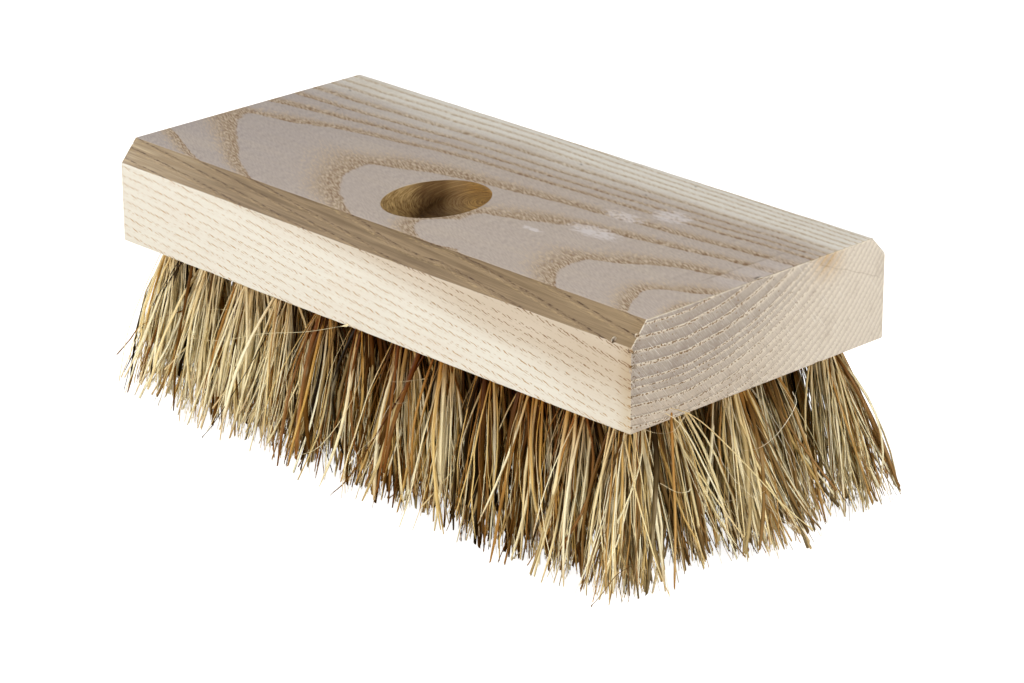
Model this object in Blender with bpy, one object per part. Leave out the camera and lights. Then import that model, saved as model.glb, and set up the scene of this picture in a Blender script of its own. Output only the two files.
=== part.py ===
"""Masonry brush: an ash block with a slanted pole socket, set with tufts of union fibre.

Metres, +Z up. The origin is on the floor that the bristle tips stand on, under the
middle of the block. +X runs along the block, and the socket leans the pole towards -Y.
"""
import math
import random

import bmesh
import bpy
from mathutils import Matrix, Vector

# Block
BLOCK_LENGTH = 0.2000
BLOCK_WIDTH = 0.0952
BLOCK_THICKNESS = 0.0294
NEAR_CHAMFER_WIDTH = 0.0055
NEAR_CHAMFER_DEPTH = 0.0064
FAR_CHAMFER_WIDTH = 0.0051
FAR_CHAMFER_DEPTH = 0.0054

# Pole socket: a slanted blind bore, its mouth's middle given from the block's middle
SOCKET_DIAMETER = 0.0272
SOCKET_TILT = math.radians(36.2)
SOCKET_HEADING = math.radians(-83.2)
SOCKET_MOUTH_X = -0.0024
SOCKET_MOUTH_Y = -0.0175
SOCKET_FLOOR_WALL = 0.0024
SOCKET_SIDES = 32

# Tuft holes in the underside
TUFT_ROWS = 5
TUFTS_IN_FULL_ROW = 12
END_MARGIN = 0.0118
SIDE_MARGIN = 0.0110
HOLE_DIAMETER = 0.0086
HOLE_DEPTH = 0.0080
TUFT_CLEARANCE = 0.0003

# Tufts: each is a bundle in its hole that parts into strands below the block
STRANDS_PER_TUFT = 8
BRISTLE_HEIGHT = 0.0480
BUNDLE_DROP = 0.0006
FOLD_LENGTH = 0.0022
FOLD_SHARE = 0.45
STRAND_TIP_WIDTH = 0.0026
TIP_RISE = 0.0040
FLOOR_TRIM = 0.0005

# How the strands fan out: the whole brush towards its ends and sides, each tuft about itself
END_FLARE = 0.0078
SIDE_FLARE = 0.0045
FLARE_POWER = 3
BEND_DEPTH_SHARE = 0.42
BEND_FLARE_SHARE = 0.30
BEND_SPREAD_SHARE = 0.45
SPREAD_ALONG_SHARE = 0.42
SPREAD_ACROSS_SHARE = 0.465
LEAST_SPREAD_SHARE = 0.55
BEND_WIDTH_SHARE = 0.90
ANGLE_JITTER_SHARE = 0.20
SHORT_STRANDS_SHARE = 0.45
SEED = 11

# What a cutter runs past the face that it opens, and how close corners are welded
CUT_OVERRUN = 0.0020
WELD_DISTANCE = 0.00001
SHARP_EDGE = math.radians(30)

# Finishes, as linear colours
ASH_COLOUR = (0.66, 0.56, 0.43, 1.0)
STRAW_COLOUR = (0.56, 0.42, 0.22, 1.0)
BROWN_COLOUR = (0.17, 0.085, 0.035, 1.0)
ASH_ROUGHNESS = 0.70
FIBRE_ROUGHNESS = 0.60

# Places worked out from the sizes above
BLOCK_TOP = BRISTLE_HEIGHT + BLOCK_THICKNESS
HOLE_END = BRISTLE_HEIGHT + HOLE_DEPTH
END_TUFT_X = BLOCK_LENGTH / 2 - END_MARGIN
SIDE_TUFT_Y = BLOCK_WIDTH / 2 - SIDE_MARGIN
TUFT_PITCH = 2 * END_TUFT_X / (TUFTS_IN_FULL_ROW - 1)
ROW_PITCH = 2 * SIDE_TUFT_Y / (TUFT_ROWS - 1)
BUNDLE_RADIUS = HOLE_DIAMETER / 2 - TUFT_CLEARANCE
SOCKET_RADIUS = SOCKET_DIAMETER / 2
SOCKET_LOW_EDGE = SOCKET_RADIUS * math.sin(SOCKET_TILT)
SOCKET_DROP = BLOCK_TOP - HOLE_END - SOCKET_FLOOR_WALL - SOCKET_LOW_EDGE
SOCKET_DEPTH = SOCKET_DROP / math.cos(SOCKET_TILT)


def clear_scene():
    for old in list(bpy.data.objects):
        bpy.data.objects.remove(old, do_unlink=True)


def new_collection(name):
    collection = bpy.data.collections.new(name)
    bpy.context.scene.collection.children.link(collection)
    return collection


def new_material(name, colour, roughness):
    material = bpy.data.materials.new(name)
    material.use_nodes = True
    material.diffuse_color = colour
    shader = material.node_tree.nodes["Principled BSDF"]
    shader.inputs["Base Color"].default_value = colour
    shader.inputs["Roughness"].default_value = roughness
    shader.inputs["Metallic"].default_value = 0.0
    return material


def blend_colour(first, second, share):
    return tuple(a + (b - a) * share for a, b in zip(first, second))


def object_from_bmesh(name, shape, collection):
    mesh = bpy.data.meshes.new(name)
    shape.to_mesh(mesh)
    shape.free()
    made = bpy.data.objects.new(name, mesh)
    collection.objects.link(made)
    return made


def mark_cutter(cutter):
    cutter.hide_render = True
    cutter.display_type = "WIRE"


def settle_mesh(made, collection):
    """Replaces an object by one that holds its evaluated mesh, with loose caps welded."""
    depsgraph = bpy.context.evaluated_depsgraph_get()
    mesh = bpy.data.meshes.new_from_object(made.evaluated_get(depsgraph))
    settled = bpy.data.objects.new(made.name, mesh)
    settled.matrix_world = made.matrix_world.copy()
    name = made.name
    bpy.data.objects.remove(made, do_unlink=True)
    settled.name = name
    collection.objects.link(settled)
    shape = bmesh.new()
    shape.from_mesh(mesh)
    bmesh.ops.remove_doubles(shape, verts=shape.verts, dist=WELD_DISTANCE)
    bmesh.ops.recalc_face_normals(shape, faces=shape.faces)
    shape.to_mesh(mesh)
    shape.free()
    return settled


def tuft_places():
    """Every tuft's row, number and place: rows of full length and one short take turns."""
    places = []
    for row in range(TUFT_ROWS):
        count = TUFTS_IN_FULL_ROW - row % 2
        first_x = -TUFT_PITCH * (count - 1) / 2
        for number in range(count):
            place = Vector((first_x + TUFT_PITCH * number, ROW_PITCH * row - SIDE_TUFT_Y, 0))
            places.append((row + 1, number + 1, place))
    return places


def socket_axis():
    """The socket's direction, out of its mouth."""
    level = math.sin(SOCKET_TILT)
    return Vector((level * math.cos(SOCKET_HEADING), level * math.sin(SOCKET_HEADING),
                   math.cos(SOCKET_TILT)))


def socket_cutter(cutters):
    """A cylinder along the socket's axis, from its floor to well above the block."""
    axis = socket_axis()
    reach = SOCKET_RADIUS * math.tan(SOCKET_TILT) + CUT_OVERRUN
    shape = bmesh.new()
    bmesh.ops.create_cone(shape, cap_ends=True, segments=SOCKET_SIDES, radius1=SOCKET_RADIUS,
                          radius2=SOCKET_RADIUS, depth=SOCKET_DEPTH + reach)
    mouth = Vector((SOCKET_MOUTH_X, SOCKET_MOUTH_Y, BLOCK_TOP))
    middle = mouth + axis * ((reach - SOCKET_DEPTH) / 2)
    turn = axis.to_track_quat("Z", "Y").to_matrix().to_4x4()
    bmesh.ops.transform(shape, verts=shape.verts, matrix=Matrix.Translation(middle) @ turn)
    cutter = object_from_bmesh("pole_socket_cutter", shape, cutters)
    mark_cutter(cutter)
    return cutter


def hole_cutter(cutters):
    """One cutter with a post for each tuft hole."""
    shape = bmesh.new()
    for _, _, place in tuft_places():
        middle_z = HOLE_END - (HOLE_DEPTH + CUT_OVERRUN) / 2
        bmesh.ops.create_cone(shape, cap_ends=True, segments=STRANDS_PER_TUFT,
                              radius1=HOLE_DIAMETER / 2, radius2=HOLE_DIAMETER / 2,
                              depth=HOLE_DEPTH + CUT_OVERRUN,
                              matrix=Matrix.Translation((place.x, place.y, middle_z)))
    cutter = object_from_bmesh("tuft_hole_cutter", shape, cutters)
    mark_cutter(cutter)
    return cutter


def make_block(parts, cutters, material):
    """The block is its end outline, drawn across the grain and run the block's length."""
    half_width = BLOCK_WIDTH / 2
    outline = ((-half_width, BRISTLE_HEIGHT),
               (half_width, BRISTLE_HEIGHT),
               (half_width, BLOCK_TOP - FAR_CHAMFER_DEPTH),
               (half_width - FAR_CHAMFER_WIDTH, BLOCK_TOP),
               (-half_width + NEAR_CHAMFER_WIDTH, BLOCK_TOP),
               (-half_width, BLOCK_TOP - NEAR_CHAMFER_DEPTH))
    curve = bpy.data.curves.new("brush_block", "CURVE")
    curve.dimensions = "2D"
    curve.fill_mode = "BOTH"
    curve.extrude = BLOCK_LENGTH / 2
    spline = curve.splines.new("POLY")
    spline.points.add(len(outline) - 1)
    for point, (across, up) in zip(spline.points, outline):
        point.co = (across, up, 0, 1)
    spline.use_cyclic_u = True
    block = bpy.data.objects.new("brush_block", curve)
    parts.objects.link(block)
    block.rotation_euler = (math.pi / 2, 0, math.pi / 2)
    bpy.context.view_layer.update()
    block = settle_mesh(block, parts)
    for cutter in (hole_cutter(cutters), socket_cutter(cutters)):
        cut = block.modifiers.new(cutter.name, "BOOLEAN")
        cut.operation = "DIFFERENCE"
        cut.solver = "EXACT"
        cut.object = cutter
    bpy.context.view_layer.update()
    block = settle_mesh(block, parts)
    block.data.materials.clear()
    block.data.materials.append(material)
    block.data.shade_smooth()
    block.data.set_sharp_from_angle(angle=SHARP_EDGE)
    return block


def fan_out(place, share):
    """Moves a place outward as the whole brush fans out: none at its middle, most at its rim."""
    along = END_FLARE * share * (place.x / END_TUFT_X) ** FLARE_POWER
    across = SIDE_FLARE * share * (place.y / SIDE_TUFT_Y) ** FLARE_POWER
    return Vector((place.x + along, place.y + across, 0))


def spread_place(centre, angle, spread, share):
    """A strand's place at one level: its own share of the tuft's spread, then the brush's fan."""
    along = BUNDLE_RADIUS * (1 - share) * spread + TUFT_PITCH * SPREAD_ALONG_SHARE * share * spread
    across = BUNDLE_RADIUS * (1 - share) * spread + ROW_PITCH * SPREAD_ACROSS_SHARE * share * spread
    return centre + Vector((along * math.cos(angle), across * math.sin(angle), 0))


def lead_strand(face, place, height, width_share):
    """Moves a strand's end face to its place and height and narrows it."""
    middle = face.calc_center_median()
    goal = Vector((place.x, place.y, height))
    for vert in face.verts:
        vert.co = goal + (vert.co - middle) * width_share


def make_tuft(name, centre, material, dice, parts):
    """A folded bundle in its hole, parted below the block into strands with one bend each."""
    bundle_low = BRISTLE_HEIGHT - BUNDLE_DROP
    fold_low = HOLE_END - TUFT_CLEARANCE - FOLD_LENGTH
    shape = bmesh.new()
    bmesh.ops.create_cone(shape, cap_ends=True, cap_tris=True, segments=STRANDS_PER_TUFT,
                          radius1=BUNDLE_RADIUS, radius2=BUNDLE_RADIUS,
                          depth=fold_low - bundle_low,
                          matrix=Matrix.Translation((centre.x, centre.y, (fold_low + bundle_low) / 2)))
    hub = max(shape.verts, key=lambda vert: (vert.co.z, -(vert.co.xy - centre.xy).length))
    bmesh.ops.dissolve_verts(shape, verts=[hub])

    # The fold, pinched where the staple holds it
    shape.faces.ensure_lookup_table()
    crown = max(shape.faces, key=lambda face: face.calc_center_median().z)
    crown = bmesh.ops.extrude_discrete_faces(shape, faces=[crown])["faces"][0]
    for vert in crown.verts:
        vert.co.y = centre.y + (vert.co.y - centre.y) * FOLD_SHARE
        vert.co.z += FOLD_LENGTH

    # The strands, each inside its own wedge of the tuft
    sectors = [face for face in shape.faces if face.calc_center_median().z < bundle_low + BUNDLE_DROP / 2]
    sectors = [face for face in sectors if len(face.verts) == 3]
    half_wedge = math.pi / STRANDS_PER_TUFT
    root_width = 2 * BUNDLE_RADIUS * math.sin(half_wedge)
    tip_share = STRAND_TIP_WIDTH / (root_width * BEND_WIDTH_SHARE)
    for sector in sectors:
        root = sector.calc_center_median()
        angle = math.atan2(root.y - centre.y, root.x - centre.x)
        angle += dice.uniform(-1, 1) * half_wedge * ANGLE_JITTER_SHARE
        spread = dice.uniform(LEAST_SPREAD_SHARE, 1)
        rise = TIP_RISE * dice.random() if dice.random() < SHORT_STRANDS_SHARE else -FLOOR_TRIM
        bend_height = bundle_low * (1 - BEND_DEPTH_SHARE)
        bend = fan_out(spread_place(centre, angle, spread, BEND_SPREAD_SHARE), BEND_FLARE_SHARE)
        tip = fan_out(spread_place(centre, angle, spread, 1), 1)
        strand = bmesh.ops.extrude_discrete_faces(shape, faces=[sector])["faces"][0]
        lead_strand(strand, bend, bend_height, BEND_WIDTH_SHARE)
        strand = bmesh.ops.extrude_discrete_faces(shape, faces=[strand])["faces"][0]
        lead_strand(strand, tip, rise, tip_share)

    # The tips that reach past the floor are cut flat on it
    cut = bmesh.ops.bisect_plane(shape, geom=shape.verts[:] + shape.edges[:] + shape.faces[:],
                                 plane_co=(0, 0, 0), plane_no=(0, 0, -1), clear_outer=True)
    edges = [item for item in cut["geom_cut"] if isinstance(item, bmesh.types.BMEdge)]
    bmesh.ops.holes_fill(shape, edges=edges)
    bmesh.ops.recalc_face_normals(shape, faces=shape.faces)
    tuft = object_from_bmesh(name, shape, parts)
    tuft.data.materials.append(material)
    return tuft


def main():
    clear_scene()
    parts = new_collection("masonry_brush")
    cutters = new_collection("cutters")
    ash = new_material("planed_ash", ASH_COLOUR, ASH_ROUGHNESS)
    make_block(parts, cutters, ash)
    dice = random.Random(SEED)
    for row, number, place in tuft_places():
        name = f"tuft_row{row}_{number:02d}"
        colour = blend_colour(STRAW_COLOUR, BROWN_COLOUR, dice.random())
        fibre = new_material(name + "_fibre", colour, FIBRE_ROUGHNESS)
        make_tuft(name, place, fibre, dice, parts)


main()
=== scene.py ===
import math
import random

import bmesh
import bpy
from mathutils import Matrix, Quaternion, Vector


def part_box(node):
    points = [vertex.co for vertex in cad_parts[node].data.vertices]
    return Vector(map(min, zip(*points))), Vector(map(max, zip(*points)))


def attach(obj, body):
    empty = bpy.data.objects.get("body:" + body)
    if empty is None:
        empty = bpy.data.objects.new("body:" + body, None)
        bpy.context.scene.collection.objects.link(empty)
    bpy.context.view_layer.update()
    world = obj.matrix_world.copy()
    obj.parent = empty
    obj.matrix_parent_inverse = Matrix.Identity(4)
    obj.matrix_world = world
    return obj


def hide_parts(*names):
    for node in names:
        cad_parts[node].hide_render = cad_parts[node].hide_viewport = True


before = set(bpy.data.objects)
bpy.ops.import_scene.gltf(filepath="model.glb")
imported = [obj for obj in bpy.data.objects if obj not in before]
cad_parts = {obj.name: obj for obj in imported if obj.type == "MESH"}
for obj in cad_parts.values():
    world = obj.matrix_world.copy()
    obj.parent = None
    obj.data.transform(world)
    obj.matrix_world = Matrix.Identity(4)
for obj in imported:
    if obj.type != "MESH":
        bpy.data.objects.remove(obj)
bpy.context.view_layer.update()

MM = 0.001

# Block, from the frame
BLOCK_LOW, BLOCK_HIGH = (Vector(corner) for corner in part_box("brush_block"))
BLOCK_LENGTH = BLOCK_HIGH.x - BLOCK_LOW.x
BLOCK_WIDTH = BLOCK_HIGH.y - BLOCK_LOW.y
BLOCK_TOP = BLOCK_HIGH.z
UNDERSIDE = BLOCK_LOW.z
TOP_LEVEL = (BLOCK_TOP - UNDERSIDE) / MM  # over the underside, as the finishes measure it
NEAR_CHAMFER_WIDTH = 0.0055
NEAR_CHAMFER_DEPTH = 0.0064
FAR_CHAMFER_WIDTH = 0.0051
FAR_CHAMFER_DEPTH = 0.0054
EDGE_EASE = 0.00045
EDGE_EASE_STEPS = 4
END_EASE = 0.00035
END_EASE_STEPS = 3
SECTION_STEP = 0.004
EDGE_WANDER = 0.00008
CHIP_ROUGHNESS = 0.22
WELD_WITHIN = 1e-6
SHARP_EDGE = math.radians(35)
# Faces smaller than these are shaded smooth: any face, and one with four corners
SMOOTH_FACE_AREA, SMOOTH_STRIP_AREA = 3e-6, 2e-5

# Pole socket, as in the frame
SOCKET_RADIUS = 0.0136
SOCKET_TILT = math.radians(36.2)
SOCKET_HEADING = math.radians(-83.2)
SOCKET_MOUTH = Vector((-0.0024, -0.0175, BLOCK_TOP))
SOCKET_DEPTH = 0.01359
SOCKET_SIDES = 128
RIM_EASE = 0.0003
RIM_SEARCH_RADIUS = SOCKET_RADIUS * 1.35
RIM_LEVEL_WITHIN = 1e-5
RIM_SHARPEST = math.radians(20)
CUT_OVERRUN = 0.002

# Tuft holes, as in the frame
TUFT_ROWS = 5
TUFTS_IN_FULL_ROW = 12
END_TUFT_X = BLOCK_LENGTH / 2 - 0.0118
SIDE_TUFT_Y = BLOCK_WIDTH / 2 - 0.0110
TUFT_PITCH = 2 * END_TUFT_X / (TUFTS_IN_FULL_ROW - 1)
ROW_PITCH = 2 * SIDE_TUFT_Y / (TUFT_ROWS - 1)
HOLE_RADIUS = 0.0043
HOLE_DEPTH = 0.0080
HOLE_SIDES = 24
# Past these places along the block stands each row's last tuft, or the last of a full row
LEFT_END_X = TUFT_PITCH - END_TUFT_X
RIGHT_END_X = END_TUFT_X - TUFT_PITCH
FULL_ROW_END_X = END_TUFT_X - TUFT_PITCH / 4

# Fibres in a tuft, and their lengths: how ragged the tips are, and how many are broken off
FIBRES_PER_TUFT = 215
BUNDLE_RADIUS = 0.0040
BUNDLE_SPREAD = 1.15
FIBRE_LENGTH = 0.0492
RAGGED_LENGTH = 0.0112
RAGGED_POWER = 1.5
RIGHT_END_RAGGED_SHARE = 0.6
SHORT_LEFT_END = 0.0040
BROKEN_SHARE = 0.05
LEAST_BROKEN_OFF, MOST_BROKEN_OFF = 0.003, 0.016

# How the fibres gather in locks, stray and fan out
LOCKS_PER_TUFT = 12
LOCK_SPREAD_ALONG = 0.0056
LOCK_SPREAD_ACROSS = 0.0052
LOCK_COLOUR_SHARE, PALE_LOCK_COLOUR_SHARE = 0.44, 0.74
LOOSE_SPREAD = 0.0011
UNRULY_SHARE = 0.17
UNRULY_SPREAD = 0.0078
MOST_REACH = 0.0180
MOST_RIGHT_REACH = 0.0105
FAR_CORNER_PULL = 0.12
MOST_LEFT_REACH = 0.0100
RIGHT_FLARE = 0.0104
LEFT_FLARE = 0.0028
LEFT_LEAN = 0.0030
NEAR_ROW_FLARE, MIDDLE_ROW_FLARE, FAR_ROW_FLARE = 0.40, 1.40, 0.98
SIDE_FLARE = 0.0052
FLARE_POWER = 3
SHORT_ROW_FLARE = 1.5

# Inside its hole: the fold's depth under the hole's floor, how far it wanders, how narrow the
# staple pinches it, and the height at which a fibre is at its place in the hole's mouth
FOLD_DEPTH = 0.0004
FOLD_WANDER = 0.0012
FOLD_PINCH = 0.45
MOUTH_HEIGHT = 0.003

# One fibre: how it bows, waves and droops, how flat its section is, how it tapers from root to
# tip, how far the tip is cut on the slant, and how many rings and sides its mesh has
BOW = 0.0019
WAVE = 0.00025
FEWEST_WAVES, MOST_WAVES = 1.0, 3.0
HAIR_LIMPNESS = 2.4
DROOP = 0.08
FLATTEST, ROUNDEST = 0.30, 0.85
ROOT_WIDTH, WIDTH_TAPER, WIDTH_WANDER = 1.06, 0.36, 0.10
TIP_WIDTH = 0.65
TIP_SLANT = 0.0005
FLOOR_CLEARANCE = 0.0001
THIN_FIBRE_POWER = 2.3
FIBRE_RINGS = 9
FIBRE_SIDES = 4
STRAY_STEPS = 5
SEED = 23

# The kinds of fibre in the mix: share, colour strips, thinnest and thickest width, and the
# colours of its first and last strip. The strips lie side by side across this UV layer.
STRIP_LAYER = "OFBake"
STRIP_MARGIN, STRIP_SPAN = 0.1, 0.8
KINDS = {
    "cream": (0.37, 26, 0.00026, 0.00140, (255, 247, 212), (240, 217, 158)),
    "straw": (0.17, 22, 0.00024, 0.00130, (230, 200, 132), (200, 158, 82)),
    "tan": (0.12, 16, 0.00030, 0.00155, (190, 144, 78), (154, 110, 50)),
    "russet": (0.06, 6, 0.00040, 0.00180, (150, 102, 52), (120, 78, 32)),
    "brown": (0.14, 12, 0.00040, 0.00210, (112, 74, 22), (74, 47, 6)),
    "dark": (0.07, 10, 0.00045, 0.00210, (58, 38, 6), (32, 21, 1)),
    "blade": (0.06, 12, 0.00100, 0.00200, (218, 194, 136), (92, 63, 27)),
    "hair": (0.04, 4, 0.00013, 0.00022, (252, 242, 214), (234, 216, 172)),
}
# The end tufts hold more cream fibre: where they begin, and the share of locks that are cream,
# which at the right end is larger in the rows behind the middle
# This is partly the tufts' own colour and partly painted light: the paler tufts brighten the ends
PALE_LEFT_X, PALE_LEFT_SHARE = -0.040, 0.84
PALE_RIGHT_X, PALE_RIGHT_SHARE, PALE_FAR_SHARE = 0.066, 0.38, 0.42
STRIPS = sum(kind[1] for kind in KINDS.values())


def seen(red, green, blue):
    """A colour as the eye reads it, 0 to 255, as the shader's own numbers."""
    def plain(level):
        level /= 255
        return level / 12.92 if level <= 0.04045 else ((level + 0.055) / 1.055) ** 2.4
    return (plain(red), plain(green), plain(blue), 1.0)


class Value:
    """An output of a node; arithmetic on it adds Math nodes."""

    def __init__(self, finish, socket):
        self.finish = finish
        self.socket = socket

    def reckon(self, operation, *terms):
        sockets = dict(enumerate(terms))
        return self.finish.give("ShaderNodeMath", {"operation": operation}, sockets)

    def __add__(self, other):
        return self.reckon("ADD", self, other)

    def __radd__(self, other):
        return self.reckon("ADD", other, self)

    def __sub__(self, other):
        return self.reckon("SUBTRACT", self, other)

    def __rsub__(self, other):
        return self.reckon("SUBTRACT", other, self)

    def __mul__(self, other):
        return self.reckon("MULTIPLY", self, other)

    def __rmul__(self, other):
        return self.reckon("MULTIPLY", other, self)

    def __truediv__(self, other):
        return self.reckon("DIVIDE", self, other)

    def __rtruediv__(self, other):
        return self.reckon("DIVIDE", other, self)

    def __pow__(self, other):
        return self.reckon("POWER", self, other)

    def __neg__(self):
        return self.reckon("MULTIPLY", self, -1.0)

    def __abs__(self):
        return self.reckon("ABSOLUTE", self)

    def root(self):
        return self.reckon("SQRT", self)

    def fraction(self):
        return self.reckon("FRACT", self)

    def whole(self):
        return self.reckon("FLOOR", self)

    def at_least(self, other):
        return self.reckon("MAXIMUM", self, other)

    def at_most(self, other):
        return self.reckon("MINIMUM", self, other)

    def rise(self, low, high):
        """0 below low and 1 above high, with a soft step between; falls where high is lower."""
        return self.finish.give("ShaderNodeMapRange", {"interpolation_type": "SMOOTHSTEP"},
                                {"Value": self, "From Min": low, "From Max": high})

    def near(self, middle, reach):
        """1 at the middle, 0 further off than the reach."""
        return abs(self - middle).rise(reach, 0.0)


class Finish:
    """The nodes of one material, or of the world, while they are made."""

    def __init__(self, owner):
        owner.use_nodes = True
        self.owner = owner
        self.tree = owner.node_tree
        self.shader = self.tree.nodes.get("Principled BSDF")

    def give(self, kind, settings, sockets, out=0):
        """Adds a node, with its settings set before its sockets, and returns one output."""
        node = self.tree.nodes.new(kind)
        for name, value in settings.items():
            if name == "stops":
                self.set_stops(node.color_ramp, value)
            elif name == "points":
                self.set_points(node.mapping, value)
            else:
                setattr(node, name, value)
        for name, value in sockets.items():
            self.feed(node.inputs[name], value)
        return Value(self, node.outputs[out])

    def feed(self, socket, value):
        if isinstance(value, Value):
            self.tree.links.new(value.socket, socket)
        else:
            socket.default_value = value

    @staticmethod
    def set_stops(ramp, stops):
        while len(ramp.elements) < len(stops):
            ramp.elements.new(1.0)
        for element, (place, colour) in zip(ramp.elements, stops):
            element.position = place
            element.color = colour

    @staticmethod
    def set_points(mapping, points):
        curve = mapping.curves[0]
        while len(curve.points) < len(points):
            curve.points.new(1.0, 1.0)
        for point, (place, level) in zip(curve.points, points):
            point.location = (place, level)
            point.handle_type = "AUTO"
        mapping.update()

    def split(self, vector):
        return [self.give("ShaderNodeSeparateXYZ", {}, {0: vector}, axis) for axis in range(3)]

    def join(self, x, y, z):
        return self.give("ShaderNodeCombineXYZ", {}, {"X": x, "Y": y, "Z": z})

    def place(self):
        """The place on the object, in metres."""
        return self.split(self.give("ShaderNodeTexCoord", {}, {}, "Object"))

    def facing(self):
        """The way that the face looks."""
        return self.split(self.give("ShaderNodeNewGeometry", {}, {}, "True Normal"))

    def noise(self, x, y, z, detail=1.0, roughness=0.5):
        """Even noise about 0, mostly from -0.5 to 0.5."""
        fac = self.give("ShaderNodeTexNoise", {"noise_dimensions": "3D"},
                        {"Vector": self.join(x, y, z), "Scale": 1.0, "Detail": detail,
                         "Roughness": roughness})
        return (fac - 0.5) * 2.0

    def curve(self, value, low, high, points):
        """A drawn curve over the span from low to high; each point is a place and a level."""
        levels = [level for _, level in points]
        bottom, top = min(levels), max(levels)
        drawn = [((place - low) / (high - low), (level - bottom) / (top - bottom))
                 for place, level in points]
        share = self.give("ShaderNodeFloatCurve", {"points": drawn},
                          {"Factor": 1.0, "Value": (value - low) / (high - low)})
        return share * (top - bottom) + bottom

    def blend(self, share, first, second, way="MIX"):
        return self.give("ShaderNodeMix",
                         {"data_type": "RGBA", "blend_type": way, "clamp_factor": True},
                         {0: share, 6: first, 7: second}, 2)

    def ramp(self, value, stops):
        return self.give("ShaderNodeValToRGB", {"stops": stops}, {"Fac": value})

    def bump(self, height, distance):
        normal = self.give("ShaderNodeBump", {}, {"Strength": 1.0, "Distance": distance,
                                                  "Height": height})
        self.tree.links.new(normal.socket, self.shader.inputs["Normal"])

    def done(self, colour, roughness):
        self.feed(self.shader.inputs["Base Color"], colour)
        self.feed(self.shader.inputs["Roughness"], roughness)
        return self.owner


def object_from_bmesh(name, shape):
    mesh = bpy.data.meshes.new(name)
    shape.to_mesh(mesh)
    shape.free()
    made = bpy.data.objects.new(name, mesh)
    bpy.context.scene.collection.objects.link(made)
    return made


# Block

def block_outline():
    """The corners of the block's end, across and up."""
    half = BLOCK_WIDTH / 2
    return [Vector((-half, UNDERSIDE)),
            Vector((half, UNDERSIDE)),
            Vector((half, BLOCK_TOP - FAR_CHAMFER_DEPTH)),
            Vector((half - FAR_CHAMFER_WIDTH, BLOCK_TOP)),
            Vector((-half + NEAR_CHAMFER_WIDTH, BLOCK_TOP)),
            Vector((-half, BLOCK_TOP - NEAR_CHAMFER_DEPTH))]


def eased(corners, reach):
    """Rounds each corner over its reach along both of its edges."""
    points = []
    for index, corner in enumerate(corners):
        before = corners[index - 1]
        after = corners[(index + 1) % len(corners)]
        start = corner + (before - corner).normalized() * reach
        end = corner + (after - corner).normalized() * reach
        for step in range(EDGE_EASE_STEPS + 1):
            share = step / EDGE_EASE_STEPS
            points.append(start.lerp(corner, share).lerp(corner.lerp(end, share), share))
    return points


def section_places():
    """Where the block's outline is drawn along its length, and how far it is drawn in."""
    half = BLOCK_LENGTH / 2
    turns = [math.pi / 2 * step / END_EASE_STEPS for step in range(END_EASE_STEPS + 1)]
    left_end = [(-half + END_EASE * (1 - math.cos(turn)), END_EASE * (1 - math.sin(turn)))
                for turn in turns]
    run = BLOCK_LENGTH - 2 * END_EASE
    steps = round(run / SECTION_STEP)
    between = [(-half + END_EASE + run * step / steps, 0) for step in range(1, steps)]
    right_end = [(-x, inset) for x, inset in reversed(left_end)]
    return left_end + between + right_end


def block_body(dice):
    """The planed block before it is bored: its outline run along the length, edges eased."""
    shape = bmesh.new()
    middle = Vector((0, (UNDERSIDE + BLOCK_TOP) / 2))
    rings = []
    for x, inset in section_places():
        corners = []
        for corner in block_outline():
            out = corner - middle
            drawn_in = Vector((math.copysign(inset, out.x), math.copysign(inset, out.y)))
            wander = Vector((dice.uniform(-1, 1), dice.uniform(-1, 1))) * EDGE_WANDER
            worn_off = Vector((math.copysign(wander.x, out.x), math.copysign(wander.y, out.y)))
            corners.append(corner - drawn_in - worn_off)
        rings.append([shape.verts.new((x, point.x, point.y))
                      for point in eased(corners, EDGE_EASE)])
    for first, second in zip(rings, rings[1:]):
        for index in range(len(first)):
            after = (index + 1) % len(first)
            shape.faces.new((first[index], first[after], second[after], second[index]))
    shape.faces.new(list(reversed(rings[0])))
    shape.faces.new(rings[-1])
    bmesh.ops.recalc_face_normals(shape, faces=shape.faces)
    return object_from_bmesh("brush_block_body", shape)


def socket_axis():
    """The way out of the socket, up and towards the front."""
    level = math.sin(SOCKET_TILT)
    return Vector((level * math.cos(SOCKET_HEADING), level * math.sin(SOCKET_HEADING),
                   math.cos(SOCKET_TILT)))


def socket_cutter():
    axis = socket_axis()
    reach = SOCKET_RADIUS * math.tan(SOCKET_TILT) + CUT_OVERRUN
    shape = bmesh.new()
    bmesh.ops.create_cone(shape, cap_ends=True, segments=SOCKET_SIDES, radius1=SOCKET_RADIUS,
                          radius2=SOCKET_RADIUS, depth=SOCKET_DEPTH + reach)
    middle = SOCKET_MOUTH + axis * ((reach - SOCKET_DEPTH) / 2)
    turn = axis.to_track_quat("Z", "Y").to_matrix().to_4x4()
    bmesh.ops.transform(shape, verts=shape.verts, matrix=Matrix.Translation(middle) @ turn)
    return object_from_bmesh("pole_socket_bit", shape)


def tuft_places():
    """Every tuft's row, number and place: full rows and rows one tuft shorter take turns."""
    places = []
    for row in range(TUFT_ROWS):
        count = TUFTS_IN_FULL_ROW - row % 2
        first_x = -TUFT_PITCH * (count - 1) / 2
        for number in range(count):
            place = Vector((first_x + TUFT_PITCH * number, ROW_PITCH * row - SIDE_TUFT_Y, 0))
            places.append((row + 1, number + 1, place))
    return places


def hole_cutter():
    shape = bmesh.new()
    depth = HOLE_DEPTH + CUT_OVERRUN
    for _, _, place in tuft_places():
        middle = (place.x, place.y, UNDERSIDE + HOLE_DEPTH - depth / 2)
        bmesh.ops.create_cone(shape, cap_ends=True, segments=HOLE_SIDES, radius1=HOLE_RADIUS,
                              radius2=HOLE_RADIUS, depth=depth,
                              matrix=Matrix.Translation(middle))
    return object_from_bmesh("tuft_hole_bit", shape)


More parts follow.
